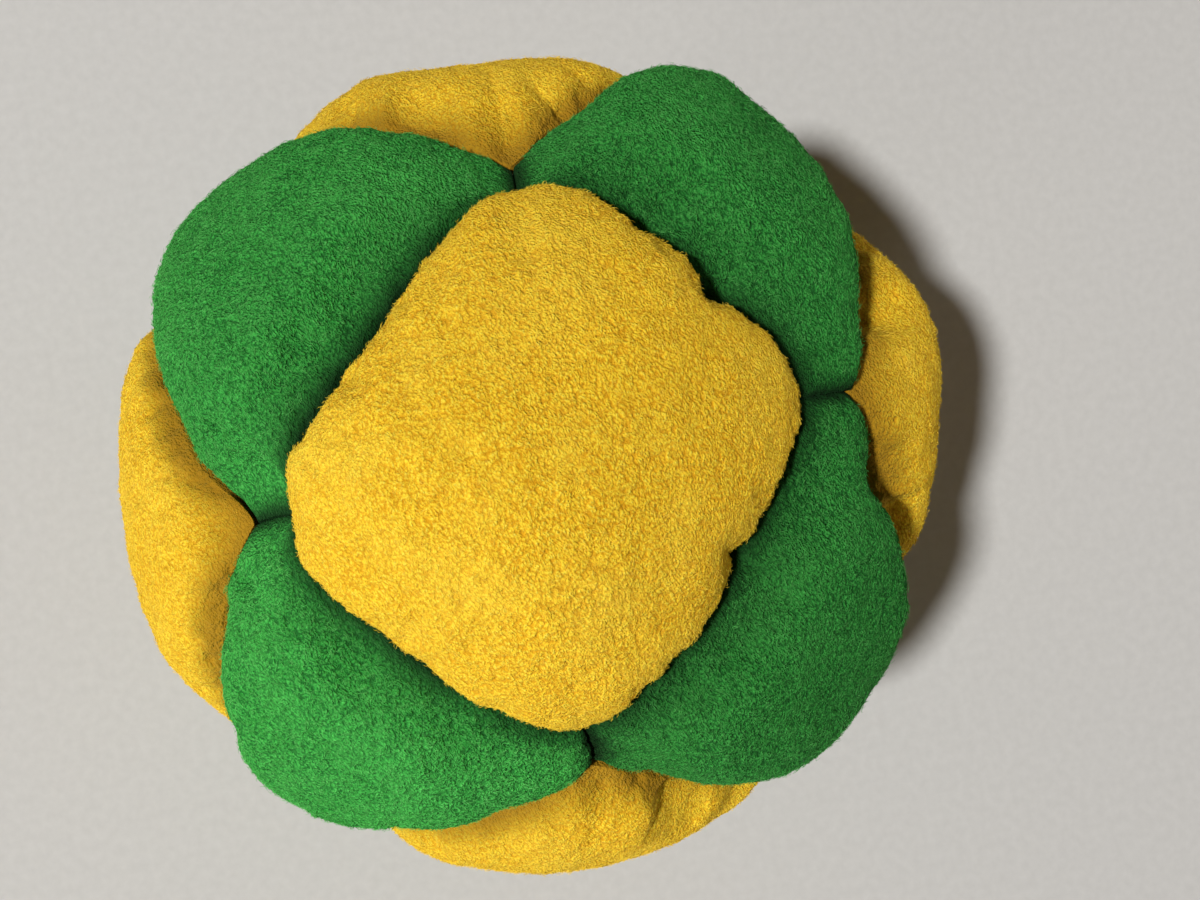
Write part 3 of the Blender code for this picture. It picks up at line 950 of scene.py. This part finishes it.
def grow_fibres(name, number):
    """The fibres of one panel as points, triangles, and a tone for each point."""
    piece, points, faces, shown = cloths[name]
    normals = vertex_normals(piece)
    draw = np.random.default_rng(100 + number)
    open_face = (shown[faces] > 0.5).all(axis=1) & (points[faces][:, :, 2] > FLAT_ENOUGH).all(axis=1)
    face = faces[open_face]
    corners = points[face]
    areas = np.linalg.norm(np.cross(corners[:, 1] - corners[:, 0], corners[:, 2] - corners[:, 0]), axis=1) / 2
    count = int(areas.sum() / MM**2 * FIBRES_PER_MM2)
    chosen = np.searchsorted(np.cumsum(areas) / areas.sum(), draw.random(count)).clip(0, len(face) - 1)
    share = np.sort(draw.random((count, 2)), axis=1)
    weights = np.stack([share[:, 0], share[:, 1] - share[:, 0], 1 - share[:, 1]], axis=1)[:, :, None]
    root = (corners[chosen] * weights).sum(axis=1)
    normal = unit((normals[face[chosen]] * weights).sum(axis=1))
    lead = unit(draw.normal(size=3))
    flat = unit(np.cross(normal, lead))
    side = np.cross(normal, flat)
    turn = 2.6 * smooth_noise(root, SWIRL, 1.9) + 1.6 * smooth_noise(root, SWIRL / 3, 8.3)
    turn = turn + draw.normal(size=count) * STRAY_TURN
    along = np.cos(turn)[:, None] * flat + np.sin(turn)[:, None] * side
    across = np.cross(normal, along)
    length = draw.uniform(*FIBRE_LENGTHS[is_square(name)], count)[:, None]
    lift = (draw.random(count)[:, None] ** 4 * 0.12 + 0.005) * MM
    curl = draw.normal(size=count)[:, None] * CURLS[is_square(name)] * length
    start = root - normal * ROOT_DEPTH
    middle = root + along * length * 0.5 + normal * (lift + 0.028 * MM) + across * curl * 0.6
    tip = root + along * length * 0.95 + normal * (lift * 1.5 - 0.005 * MM) - across * curl * 0.4
    thickness = FIBRE_THICKNESS * draw.uniform(0.75, 1.3, count)[:, None, None]
    ring = np.array([(math.cos(a), math.sin(a)) for a in (math.pi / 2, math.pi * 7 / 6, math.pi * 11 / 6)])
    offsets = ring[None, :, :1] * normal[:, None] + ring[None, :, 1:] * across[:, None]
    rings = [start[:, None] + offsets * thickness, middle[:, None] + offsets * thickness * 0.8, tip[:, None]]
    spike = np.concatenate(rings, axis=1)
    spike[:, :, 2] = spike[:, :, 2].clip(0.02 * MM)
    triangles = (FIBRE_FACES[None] + 7 * np.arange(count)[:, None, None]).reshape(-1, 3)
    return spike.reshape(-1, 3), triangles, np.repeat(draw.random(count), 7)


naps = {}
for number, name in enumerate(panels):
    points, triangles, tone = grow_fibres(name, number)
    nap = array_mesh("nap_" + name, points, triangles, cell_maps(len(triangles)))
    set_values(nap, "fibre_tone", tone)
    # the panel's painted light level, for the fibres' material
    set_values(nap, "painted_panel_light", np.full(len(points), WEAR_AND_PAINTED_LIGHT.get(name, UNWORN_UNPAINTED)[1]))
    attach(nap, "root")
    naps[name] = nap
print("the top panel has", len(naps["square_panel_top"].data.polygons) // 10, "fibres")

# %% [markdown]
# ## Colours and nodes
#
# Colours are written as the sRGB hex values that a colour picker reads off a photograph, and one
# function turns them to the linear values that Blender's shaders work in. One small function adds
# a node, sets it and links it, so that each material reads from its pattern to its surface.

# %% Colour and node helpers
def linear(hex_colour):
    """An sRGB hex colour as linear red, green, blue and alpha."""
    channels = [int(hex_colour[place:place + 2], 16) / 255 for place in (1, 3, 5)]
    return tuple(c / 12.92 if c <= 0.04045 else ((c + 0.055) / 1.055) ** 2.4 for c in channels) + (1,)


def new_material(name):
    """An empty material, and its nodes."""
    material = bpy.data.materials.new(name)
    material.use_nodes = True
    material.node_tree.nodes.clear()
    return material, material.node_tree


def add(tree, kind, settings=None, stops=(), **sockets):
    """Adds a node and returns its outputs. A socket, named or as i and its number, takes a value or
    an output. stops are the places and hex colours of a colour ramp."""
    node = tree.nodes.new("ShaderNode" + kind)
    for key, value in (settings or {}).items():
        setattr(node, key, value)
    for number, (place, colour) in enumerate(stops):
        elements = node.color_ramp.elements
        element = elements[number] if number < 2 else elements.new(place)
        element.position = place
        element.color = linear(colour)
    for key, value in sockets.items():
        socket = node.inputs[int(key[1:])] if key[1:].isdigit() else node.inputs[key.replace("_", " ")]
        if isinstance(value, bpy.types.NodeSocket):
            tree.links.new(value, socket)
        else:
            socket.default_value = value
    return node.outputs


MULTIPLY_ADD = {"operation": "MULTIPLY_ADD"}
STRETCH = {"vector_type": "TEXTURE"}
COLOURS = {"data_type": "RGBA"}


# %% [markdown]
# ## Brushed microfibre suede
#
# The panels are polyester microfibre cloth, knitted, brushed and cropped to a short nap. Light
# goes in between the fibres and is scattered back, so there is no highlight: the cloth is as
# rough as can be, and sheen gives it a soft pale rim. Deep between the tufts the colour is painted
# darker and warmer as their shade, and on the tufts' tops paler as painted light. A painted shade
# darkens the hollows and seams, and each panel's colour is scaled by its painted light level.

# %% Suede
STRAND = 0.08 * MM  # bundles of fibres: single ones are far finer than the picture shows
CELL = 0.16 * MM  # the smallest tufts
PATCH = 5.0 * MM


def suede(name, relief, curl, gap_shade, deep, body, tip_light, worn, hollow_shade_colour):
    material, tree = new_material(name)
    place = add(tree, "TexCoord")["Object"]
    swirl = add(tree, "TexNoise", Vector=place, Scale=1 / WANDER, Detail=2.0)["Color"]
    bent = add(tree, "VectorMath", MULTIPLY_ADD, i0=swirl, i1=(curl,) * 3, i2=place)[0]
    turned = {"Vector": bent, "Rotation": (0.0, 0.0, math.radians(NAP_HEADING) - VIEW_TURN)}
    drawn = add(tree, "Mapping", STRETCH, **turned, Scale=(1.4, 1.0, 1.0))[0]
    cells = add(tree, "TexVoronoi", Vector=drawn, Scale=1 / CELL, Detail=1.0, Roughness=0.5)["Distance"]
    fine = add(tree, "Mapping", STRETCH, **turned, Scale=(1.6, 1.0, 1.0))[0]
    strands = add(tree, "TexNoise", Vector=fine, Scale=1 / STRAND, Detail=2.0, Roughness=0.6)["Fac"]
    raised = add(tree, "Attribute", {"attribute_name": "tuft_height"})["Fac"]
    patches = add(tree, "TexNoise", Vector=place, Scale=1 / PATCH, Detail=3.0)["Fac"]
    heaped = add(tree, "Math", MULTIPLY_ADD, i0=cells, i1=-0.5, i2=0.5)[0]
    height = add(tree, "Math", MULTIPLY_ADD, i0=strands, i1=0.25, i2=heaped)[0]
    depth = add(tree, "Math", MULTIPLY_ADD, i0=raised, i1=0.25, i2=height)[0]
    # painted shade deep in the gaps and low in the tufts, painted light on their tops
    stops = ((0.30, gap_shade), (0.43, deep), (0.56, body), (0.76, tip_light))
    nap_colour = add(tree, "ValToRGB", stops=stops, i0=depth)["Color"]
    bare = add(tree, "MapRange", Value=patches, i1=0.45, i2=0.75, i3=0.0, i4=0.3)[0]
    colour = add(tree, "Mix", COLOURS, i0=bare, i6=nap_colour, i7=linear(worn))[2]
    # painted shade darkens the hollows beside the end squares, the pits and the side squares' seams
    hollow_shade = add(tree, "Attribute", {"attribute_name": "painted_hollow_shade"})["Fac"]
    uneven = add(tree, "Math", MULTIPLY_ADD, i0=patches, i1=0.6, i2=0.7)[0]
    hollow_shade_share = add(tree, "Math", {"operation": "MULTIPLY"}, i0=hollow_shade, i1=uneven)[0]
    colour = add(tree, "Mix", COLOURS, i0=hollow_shade_share, i6=colour, i7=linear(hollow_shade_colour))[2]
    # painted light: panels facing the lamps are made lighter, those turned away darker
    panel_light = add(tree, "Attribute", {"attribute_name": "painted_panel_light"})["Fac"]
    colour = add(tree, "VectorMath", {"operation": "SCALE"}, i0=colour, i3=panel_light)["Vector"]
    bump = add(tree, "Bump", Strength=1.0, Distance=relief, Height=height)["Normal"]
    matt = {"Roughness": 0.95, "Specular_IOR_Level": 0.1}
    rim = {"Sheen_Weight": 0.12, "Sheen_Roughness": 0.6, "Sheen_Tint": linear(tip_light)}
    surface = add(tree, "BsdfPrincipled", Base_Color=colour, Normal=bump, **matt, **rim)["BSDF"]
    add(tree, "OutputMaterial", Surface=surface)
    return material


def fibre_finish(name, low, high):
    material, tree = new_material(name)
    tone = add(tree, "Attribute", {"attribute_name": "fibre_tone"})["Fac"]
    place = add(tree, "TexCoord")["Object"]
    patches = add(tree, "TexNoise", Vector=place, Scale=1 / PATCH, Detail=3.0)["Fac"]
    mixed = add(tree, "Math", MULTIPLY_ADD, i0=patches, i1=0.4, i2=tone)[0]
    share = add(tree, "MapRange", Value=mixed, i1=0.1, i2=1.3)["Result"]
    colour = add(tree, "ValToRGB", stops=((0.0, low), (1.0, high)), i0=share)["Color"]
    # painted light: fibres on panels facing the lamps are made lighter, those turned away darker
    panel_light = add(tree, "Attribute", {"attribute_name": "painted_panel_light"})["Fac"]
    colour = add(tree, "VectorMath", {"operation": "SCALE"}, i0=colour, i3=panel_light)["Vector"]
    matt = {"Roughness": 1.0, "Specular_IOR_Level": 0.0}
    add(tree, "OutputMaterial", Surface=add(tree, "BsdfPrincipled", Base_Color=colour, **matt)["BSDF"])
    return material


# relief and curl in metres; painted gap shade, painted deep shade, body, painted tip light, worn, painted
# hollow shade
YELLOWS = ("#E0A41A", "#F6C82C", "#FFDE38", "#FFEC68", "#FFE14A", "#A87C1A")
GREENS = ("#22702C", "#38A040", "#4AB64E", "#6AC868", "#54BA54", "#06240C")
yellow_suede = suede("brushed_microfibre_suede_yellow", 0.26 * MM, 0.35 * MM, *YELLOWS)
green_suede = suede("brushed_microfibre_suede_green", 0.5 * MM, 0.6 * MM, *GREENS)
yellow_fibres = fibre_finish("microfibre_nap_yellow", "#F6D02C", "#FDE05A")
green_fibres = fibre_finish("microfibre_nap_green", "#3CA642", "#6CC468")
for name in panels:
    cloths[name][0].data.materials.append(yellow_suede if is_square(name) else green_suede)
    naps[name].data.materials.append(yellow_fibres if is_square(name) else green_fibres)
print("two suedes and two naps, on", len(panels), "panels")

# %% [markdown]
# ## The sand
#
# The filling is dry sand. The CAD's body of sand is a plain one with flat facets. Its copy is
# rebuilt on an even grid, drawn in under the cloth, heaped into grains, and kneaded and folded
# with the cloth, so that it nowhere comes through. Only a bag that is cut open shows it.

# %% Sand
GRAIN = 0.45 * MM  # as in coarse quartz sand
GRAIN_HEIGHT = 0.16 * MM
SAND_VOXEL = 0.4 * MM
LOBE_START = 21 * MM
LOBE_SHARE = 0.45


def pour_sand():
    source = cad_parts["sand_fill"]
    data = bpy.data.meshes.new_from_object(source.evaluated_get(bpy.context.evaluated_depsgraph_get()))
    data.transform(source.matrix_world)
    piece = new_object("loose_sand", data)
    remesh = piece.modifiers.new("remesh", "REMESH")
    remesh.voxel_size = SAND_VOXEL
    evaluated = piece.evaluated_get(bpy.context.evaluated_depsgraph_get())
    piece.data = bpy.data.meshes.new_from_object(evaluated)
    piece.modifiers.clear()
    bpy.data.meshes.remove(data)
    points = (vectors(piece.data.vertices) - np.array((0, 0, GROUND_DEPTH))) / (1, 1, SETTLED_SHARE)
    radius = np.linalg.norm(points, axis=1, keepdims=True)
    lower = np.where(radius > LOBE_START, LOBE_START + (radius - LOBE_START) * LOBE_SHARE, radius)
    points = points * lower / radius * (1 + (heaps(points, GRAIN)[:, None] - 1) * GRAIN_HEIGHT / lower)
    points = settled(folded(kneaded(points)))
    points[:, 2] = points[:, 2].clip(CLOTH + SEAM_GAP)
    piece.data.vertices.foreach_set("co", listed(points))
    piece.data.shade_smooth()
    return piece


loose_sand = pour_sand()
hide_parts("sand_fill")
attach(loose_sand, "root")
print("the sand has", len(loose_sand.data.polygons), "faces")

# %% [markdown]
# ## Sand and thread finishes
#
# Washed quartz sand has grains from honey to brown. Cells of noise give one tone to each, and a
# bump rounds them. The seams are sewn with polyester thread, twisted from plies and bonded with
# resin, which leaves it smoother than the cloth. A wave gives the plies.

# %% Sand and thread finishes
PLY_TWIST = 0.35 * MM


def quartz_sand():
    material, tree = new_material("washed_quartz_sand")
    place = add(tree, "TexCoord")["Object"]
    grains = add(tree, "TexVoronoi", Vector=place, Scale=1 / GRAIN)
    stops = ((0.0, "#A98A5C"), (0.35, "#C9AE80"), (0.7, "#DCC69C"), (1.0, "#8E6E48"))
    tint = add(tree, "ValToRGB", stops=stops, i0=grains["Color"])["Color"]
    steep = {"Strength": 0.8, "Distance": 0.1 * MM}
    bump = add(tree, "Bump", {"invert": True}, **steep, Height=grains["Distance"])[0]
    surface = add(tree, "BsdfPrincipled", Base_Color=tint, Normal=bump, Roughness=0.75)["BSDF"]
    add(tree, "OutputMaterial", Surface=surface)
    return material


def bonded_thread():
    material, tree = new_material("bonded_polyester_thread_green")
    place = add(tree, "TexCoord")["Object"]
    twist = {"Scale": 1 / PLY_TWIST / 3, "Distortion": 1.5, "Detail": 1.0}
    plies = add(tree, "TexWave", {"bands_direction": "DIAGONAL"}, Vector=place, **twist)["Fac"]
    tint = add(tree, "ValToRGB", stops=((0.2, "#1B4A26"), (0.8, "#2F6A3A")), i0=plies)["Color"]
    bump = add(tree, "Bump", Strength=0.5, Distance=0.04 * MM, Height=plies)[0]
    surface = add(tree, "BsdfPrincipled", Base_Color=tint, Normal=bump, Roughness=0.45)["BSDF"]
    add(tree, "OutputMaterial", Surface=surface)
    return material


loose_sand.data.materials.clear()
loose_sand.data.materials.append(quartz_sand())
thread_finish = bonded_thread()
threads = [node for name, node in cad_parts.items() if name.startswith("thread_")]
for thread in threads:
    for place in thread.material_slots:
        place.material = thread_finish
print(len(threads), "threads")

# %% [markdown]
# ## The paper
#
# The bag lies on plain matt paper, a single square far larger than the picture. Paper has a fine
# grain that a weak bump gives, and hardly any shine.

# %% Floor
FLOOR_SIZE = 4.0
PAPER_GRAIN = 0.8 * MM  # coarser than on real paper, whose grain the picture would lose

data = bpy.data.meshes.new("floor")
half = FLOOR_SIZE / 2
data.from_pydata([(-half, -half, 0), (half, -half, 0), (half, half, 0), (-half, half, 0)], [], [(0, 1, 2, 3)])
floor = new_object("floor", data)
material, tree = new_material("matt_paper")
place = add(tree, "TexCoord")["Object"]
grain = add(tree, "TexNoise", Vector=place, Scale=1 / PAPER_GRAIN, Detail=4.0)["Fac"]
bump = add(tree, "Bump", Strength=0.15, Distance=0.05 * MM, Height=grain)["Normal"]
tint = add(tree, "ValToRGB", stops=((0.3, "#C2C1BE"), (0.7, "#C8C7C4")), i0=grain)["Color"]
matt = {"Roughness": 0.9, "Specular_IOR_Level": 0.2}
surface = add(tree, "BsdfPrincipled", Base_Color=tint, Normal=bump, **matt)["BSDF"]
add(tree, "OutputMaterial", Surface=surface)
data.materials.append(material)

# %% [markdown]
# ## The light
#
# One lamp high on the left is the key: it shapes the bag and throws the shadow on the right. Two
# wide, low lamps fill in the sides without lighting the paper much, so the shadow stays dark. The
# warm room adds the rest.

# %% Lamps
# angle round the picture and height in degrees, width in metres, power in watts
LAMPS = {"key": (191, 67, 0.11, 14.6), "low_left": (230, 2, 0.2, 6.6), "low_right": (4, 2, 0.2, 2.6)}
LAMP_DISTANCE = 1.2
ROOM_LIGHT = 0.07
ROOM_COLOUR = "#FFD4A8"  # what the shadows get comes off warm walls

for name, (turn, height, size, power) in LAMPS.items():
    data = bpy.data.lights.new(name, "AREA")
    data.shape = "DISK"
    data.size = size
    data.energy = power
    lamp = new_object(name, data)
    towards = Vector(place_round_picture(90 - height, turn))
    lamp.location = BAG_MIDDLE + towards * LAMP_DISTANCE
    lamp.rotation_mode = "QUATERNION"
    lamp.rotation_quaternion = towards.to_track_quat("Z", "Y")
world = bpy.data.worlds.new("room")
bpy.context.scene.world = world
world.use_nodes = True
room = world.node_tree.nodes["Background"].inputs
room["Color"].default_value = linear(ROOM_COLOUR)
room["Strength"].default_value = ROOM_LIGHT
bpy.context.scene.view_settings.view_transform = "Standard"
